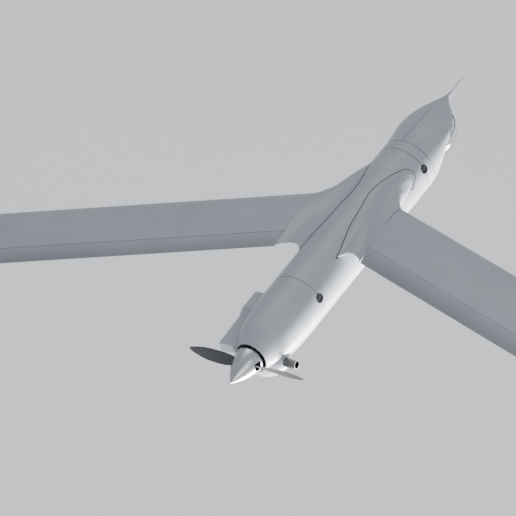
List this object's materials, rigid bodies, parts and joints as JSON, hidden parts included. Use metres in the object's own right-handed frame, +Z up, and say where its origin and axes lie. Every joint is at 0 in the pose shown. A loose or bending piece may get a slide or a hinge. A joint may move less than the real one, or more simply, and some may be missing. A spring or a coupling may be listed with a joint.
{
  "type": "fixed wing drone",
  "caption": "Swept flying-wing survey drone with round fuselage, winglets, elevons, camera turret under a clear dome and a pusher engine with propeller and spinner.",
  "frame": {"origin": "centre of the launch lug's flat face under the fuselage, at the centre of gravity station", "axes": "+Z up, +Y aft, so the nose points along -Y and the propeller is at +Y; +X towards the port wing tip"},
  "size_m": [3.1058, 1.383, 0.378],
  "materials": {
    "clear": "polished",
    "composite": "matte",
    "dark": "satin",
    "iron": "rough",
    "latch": "satin",
    "lens": "polished",
    "metal": "satin",
    "nylon": "satin",
    "paint": "satin",
    "polished": "polished",
    "steel": "satin",
    "tank": "satin",
    "wing_paint": "satin"
  },
  "bodies": {
    "airframe": {"avionics_tray": "composite", "battery_pack": "dark", "belly_cover": "paint", "carburettor": "metal", "centre_fuselage": "paint", "cooling_scoop": "paint", "crankcase": "metal", "dome_window": "clear", "elevon_hinge_rods": "steel", "elevon_servos": "nylon", "engine_cylinder": "metal", "exhaust_pipe": "steel", "firewall": "metal", "fuel_tank": "tank", "joint_rings": "composite", "latch_receptacles": "nylon", "launch_lug": "metal", "nose_collar": "paint", "nose_shell_port": "paint", "nose_shell_starboard": "paint", "pitot_probe": "metal", "port_root_fairing": "paint", "port_wing_panel": "wing_paint", "port_winglet": "wing_paint", "silencer": "iron", "spar_joiner": "metal", "starboard_root_fairing": "paint", "starboard_wing_panel": "wing_paint", "starboard_winglet": "wing_paint", "tail_cowl": "paint", "throttle_servo": "nylon", "turret_base": "metal", "turret_seat": "composite", "wing_spars": "composite", "wingtip_hooks": "steel"},
    "propeller_assembly": {"propeller": "composite", "propeller_bolts": "steel", "drive_shaft": "steel", "spinner_cone": "polished", "spinner_backplate": "polished"},
    "turret_pan": {"turret_yoke": "metal"},
    "turret_ball": {"camera_ball": "dark", "camera_lenses": "lens"},
    "throttle": {"throttle_lever": "metal"},
    "port_elevon": {"port_elevon": "wing_paint", "port_elevon_horn": "nylon"},
    "port_servo_arm": {"port_servo_arm": "nylon"},
    "port_pushrod": {"port_pushrod": "steel"},
    "port_rudder": {"port_rudder": "wing_paint"},
    "starboard_elevon": {"starboard_elevon": "wing_paint", "starboard_elevon_horn": "nylon"},
    "starboard_servo_arm": {"starboard_servo_arm": "nylon"},
    "starboard_pushrod": {"starboard_pushrod": "steel"},
    "starboard_rudder": {"starboard_rudder": "wing_paint"},
    "forward_latch_port": {"forward_latch_port": "latch"},
    "forward_latch_starboard": {"forward_latch_starboard": "latch"},
    "aft_latch_port": {"aft_latch_port": "latch"},
    "aft_latch_starboard": {"aft_latch_starboard": "latch"}
  },
  "joints": [
    {"name": "propeller_spin", "type": "hinge", "parent": "airframe", "child": "propeller_assembly", "pos_m": [0, 0.413, 0.104], "axis": [0, 1, 0], "continuous": true},
    {"name": "turret_pan", "type": "hinge", "parent": "airframe", "child": "turret_pan", "pos_m": [0, -0.672, 0.114], "axis": [0, 0, 1], "continuous": true},
    {"name": "turret_tilt", "type": "hinge", "parent": "turret_pan", "child": "turret_ball", "pos_m": [0, -0.672, 0.114], "axis": [1, 0, 0], "range_deg": [-45, 60]},
    {"name": "throttle_lever", "type": "hinge", "parent": "airframe", "child": "throttle", "pos_m": [0, 0.178, 0.104], "axis": [0, 0, 1], "range_deg": [-35, 35]},
    {"name": "port_elevon_hinge", "type": "hinge", "parent": "airframe", "child": "port_elevon", "pos_m": [0.59666, 0.08735, 0.17147], "axis": [0.9397, 0.342, 0], "range_deg": [-25, 25]},
    {"name": "port_servo_shaft", "type": "hinge", "parent": "airframe", "child": "port_servo_arm", "pos_m": [0.64121, 0.03759, 0.16847], "axis": [0.9397, 0.342, 0], "range_deg": [-25, 25]},
    {"name": "port_pushrod_eye", "type": "hinge", "parent": "port_servo_arm", "child": "port_pushrod", "pos_m": [0.64121, 0.03759, 0.15147], "axis": [0.9397, 0.342, 0], "range_deg": [-25, 25]},
    {"name": "port_rudder_hinge", "type": "hinge", "parent": "airframe", "child": "port_rudder", "pos_m": [1.513, 0.39526, 0.163], "axis": [0.1538, 0.1745, 0.9726], "range_deg": [-20, 20]},
    {"name": "starboard_elevon_hinge", "type": "hinge", "parent": "airframe", "child": "starboard_elevon", "pos_m": [-0.59666, 0.08735, 0.17147], "axis": [0.9397, -0.342, 0], "range_deg": [-25, 25]},
    {"name": "starboard_servo_shaft", "type": "hinge", "parent": "airframe", "child": "starboard_servo_arm", "pos_m": [-0.64121, 0.03759, 0.16847], "axis": [0.9397, -0.342, 0], "range_deg": [-25, 25]},
    {"name": "starboard_pushrod_eye", "type": "hinge", "parent": "starboard_servo_arm", "child": "starboard_pushrod", "pos_m": [-0.64121, 0.03759, 0.15147], "axis": [0.9397, -0.342, 0], "range_deg": [-25, 25]},
    {"name": "starboard_rudder_hinge", "type": "hinge", "parent": "airframe", "child": "starboard_rudder", "pos_m": [-1.513, 0.39526, 0.163], "axis": [-0.1538, 0.1745, 0.9726], "range_deg": [-20, 20]},
    {"name": "forward_latch_port_turn", "type": "hinge", "parent": "airframe", "child": "forward_latch_port", "pos_m": [0.08084, -0.49, 0.13027], "axis": [0.9511, 0, 0.309], "range_deg": [0, 90]},
    {"name": "forward_latch_starboard_turn", "type": "hinge", "parent": "airframe", "child": "forward_latch_starboard", "pos_m": [-0.08084, -0.49, 0.13027], "axis": [-0.9511, 0, 0.309], "range_deg": [0, 90]},
    {"name": "aft_latch_port_turn", "type": "hinge", "parent": "airframe", "child": "aft_latch_port", "pos_m": [0.08084, 0.121, 0.13027], "axis": [0.9511, 0, 0.309], "range_deg": [0, 90]},
    {"name": "aft_latch_starboard_turn", "type": "hinge", "parent": "airframe", "child": "aft_latch_starboard", "pos_m": [-0.08084, 0.121, 0.13027], "axis": [-0.9511, 0, 0.309], "range_deg": [0, 90]}
  ],
  "couplings": [
    {"joint": "port_servo_shaft", "follows": "port_elevon_hinge", "ratio": 1},
    {"joint": "port_pushrod_eye", "follows": "port_elevon_hinge", "ratio": -1},
    {"joint": "starboard_servo_shaft", "follows": "starboard_elevon_hinge", "ratio": 1},
    {"joint": "starboard_pushrod_eye", "follows": "starboard_elevon_hinge", "ratio": -1}
  ]
}
